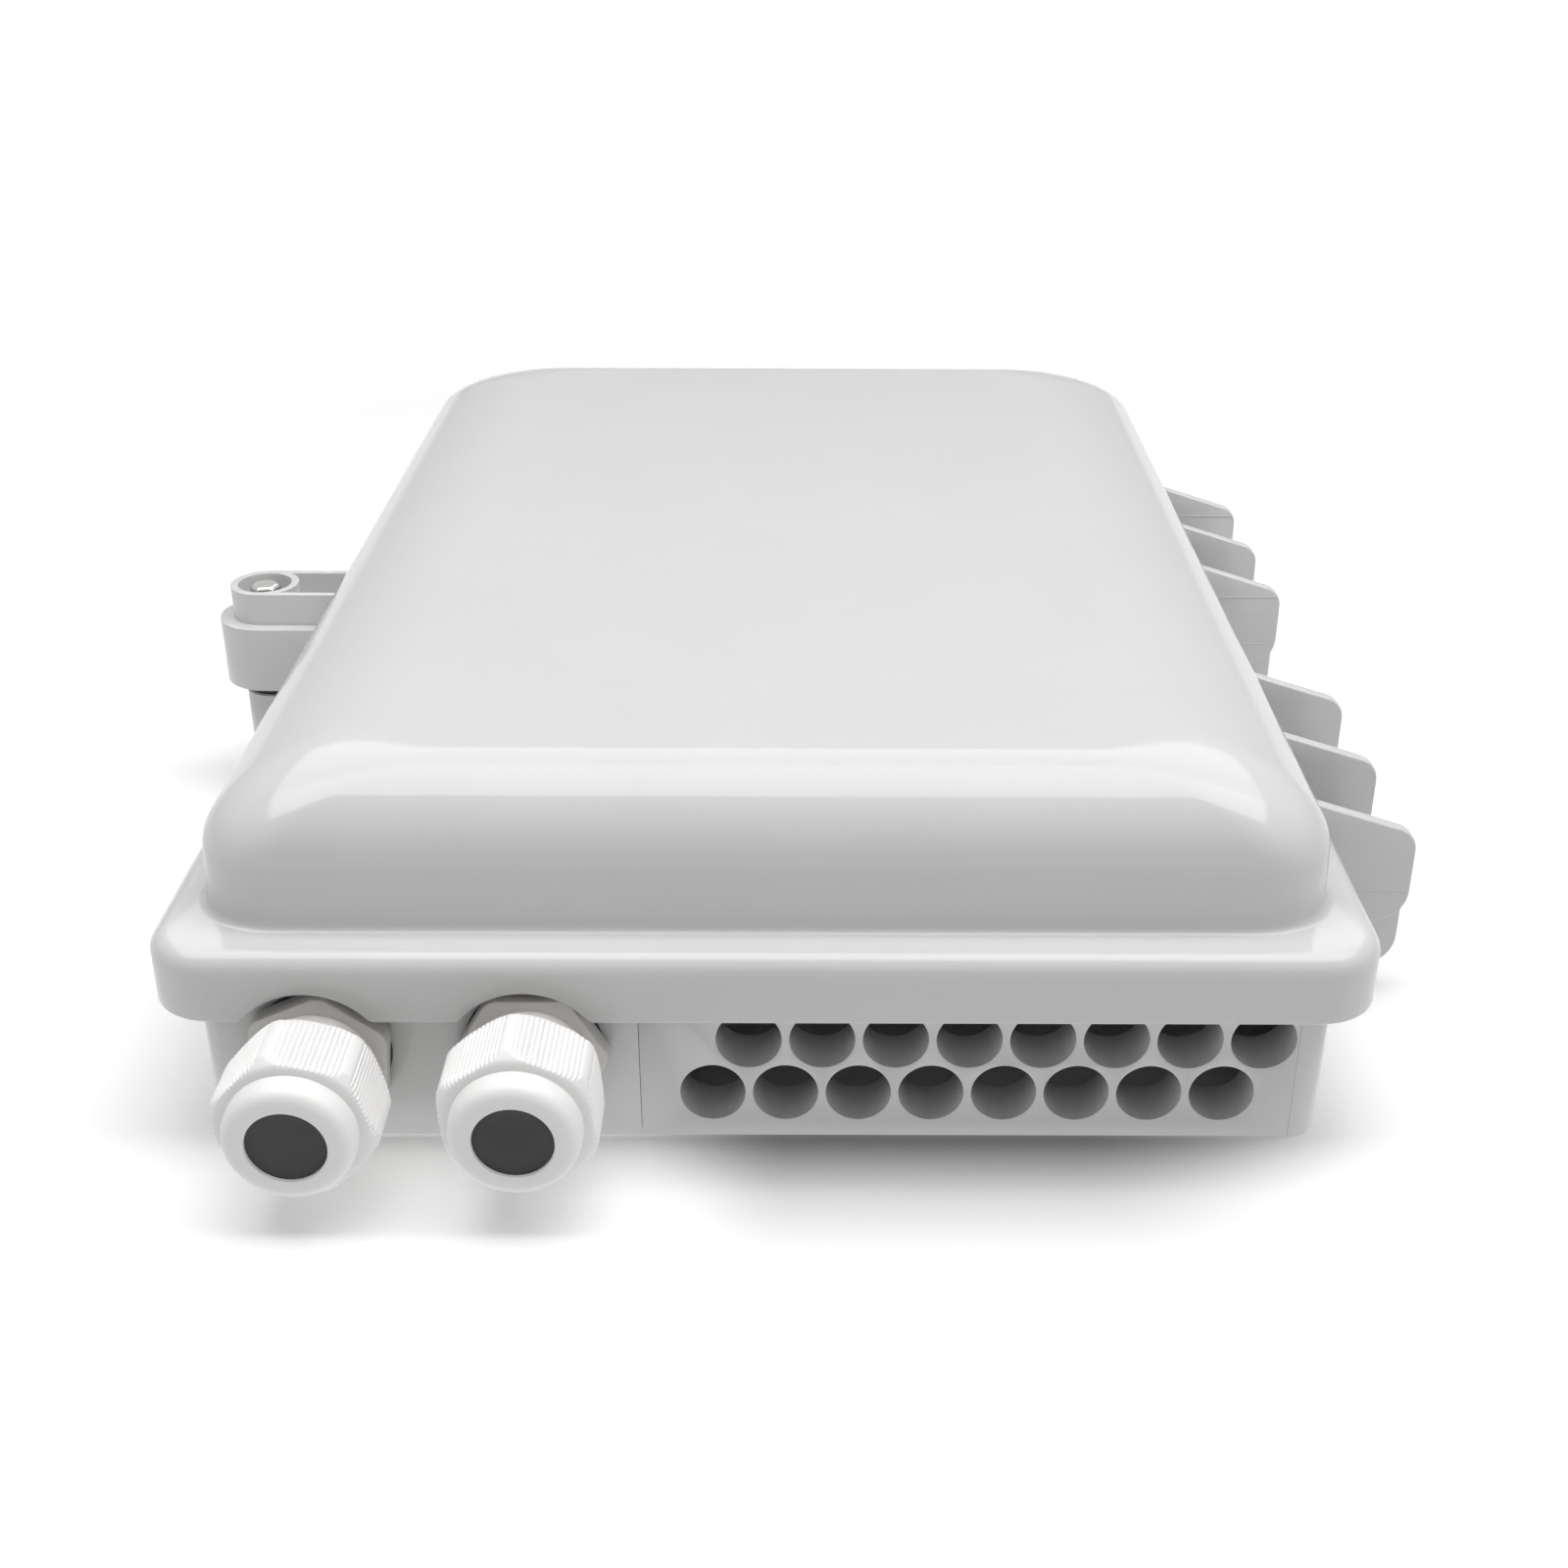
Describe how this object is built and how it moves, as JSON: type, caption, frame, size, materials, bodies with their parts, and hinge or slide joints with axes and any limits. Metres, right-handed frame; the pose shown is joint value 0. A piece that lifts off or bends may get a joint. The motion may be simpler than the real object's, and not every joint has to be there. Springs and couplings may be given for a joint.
{
  "type": "fiber termination box",
  "caption": "Wall box for joining optical fibres: a flat base shell with cable glands and round drop ports, closed by a domed, hinged lid with a key lock.",
  "frame": {"origin": "centre of the rear face, which lies on the wall", "axes": "+Z out of the wall towards the lid, -Y towards the cable entries, +X towards the hinges"},
  "size_m": [0.2562, 0.3205, 0.068],
  "materials": {
    "shell_plastic": "satin moulded ABS, light neutral grey",
    "gland_plastic": "moulded nylon, warm grey",
    "nut_plastic": "moulded nylon, white, semi-matte",
    "black_rubber": "matte",
    "plug_rubber": "matte, fine grained",
    "gasket_rubber": "foam rubber",
    "steel": "zinc plated",
    "polished_steel": "bright nickel",
    "brass": "turned",
    "inner_plastic": "moulded ABS, off-white",
    "tray_plastic": "moulded ABS, off-white",
    "adapter_plastic": "moulded, green",
    "holder_plastic": "moulded, black",
    "cap_plastic": "translucent white",
    "clear_cover": "clear polycarbonate"
  },
  "bodies": {
    "base": {"base_shell": "shell_plastic", "gland_panel": "shell_plastic", "drop_port_panel": "shell_plastic", "gland_body_left": "gland_plastic", "gland_body_right": "gland_plastic", "gland_washer_left": "black_rubber", "gland_washer_right": "black_rubber", "gland_seal_left": "black_rubber", "gland_seal_right": "black_rubber", "gland_plug_left": "plug_rubber", "gland_plug_right": "plug_rubber", "gland_locknut_left": "gland_plastic", "gland_locknut_right": "gland_plastic", "hinge_pin_front": "steel", "hinge_pin_rear": "steel", "lock_insert": "brass", "lock_seal": "black_rubber", "cable_clamp_left": "inner_plastic", "cable_clamp_right": "inner_plastic", "clamp_screws": "steel", "adapter_bracket": "inner_plastic", "bracket_screws": "steel", "adapters_lower_row": "adapter_plastic", "adapters_upper_row": "adapter_plastic", "dust_caps_front": "cap_plastic", "dust_caps_rear": "cap_plastic", "splice_tray": "tray_plastic", "splice_holders": "holder_plastic", "fiber_spools": "tray_plastic", "tray_cover": "clear_cover", "tray_screws": "steel", "cable_tie_bar": "inner_plastic"},
    "lid": {"lid": "shell_plastic", "lid_gasket": "gasket_rubber"},
    "lock_bolt": {"lock_bolt": "polished_steel", "lock_clip": "steel"},
    "gland_nut_left": {"gland_nut_left": "nut_plastic"},
    "gland_nut_right": {"gland_nut_right": "nut_plastic"}
  },
  "joints": [
    {"name": "lid_hinge", "type": "hinge", "parent": "base", "child": "lid", "pos_m": [0.1185, 0, 0.0245], "axis": [0, 1, 0], "range_deg": [0, 150]},
    {"name": "lock_bolt_turn", "type": "hinge", "parent": "lid", "child": "lock_bolt", "pos_m": [-0.1197, 0.0004, 0.045], "axis": [0, 0, 1], "continuous": true},
    {"name": "gland_nut_left_turn", "type": "hinge", "parent": "base", "child": "gland_nut_left", "pos_m": [-0.0782, -0.16, 0.019], "axis": [0, 1, 0], "continuous": true},
    {"name": "gland_nut_right_turn", "type": "hinge", "parent": "base", "child": "gland_nut_right", "pos_m": [-0.0409, -0.16, 0.02], "axis": [0, 1, 0], "continuous": true}
  ]
}
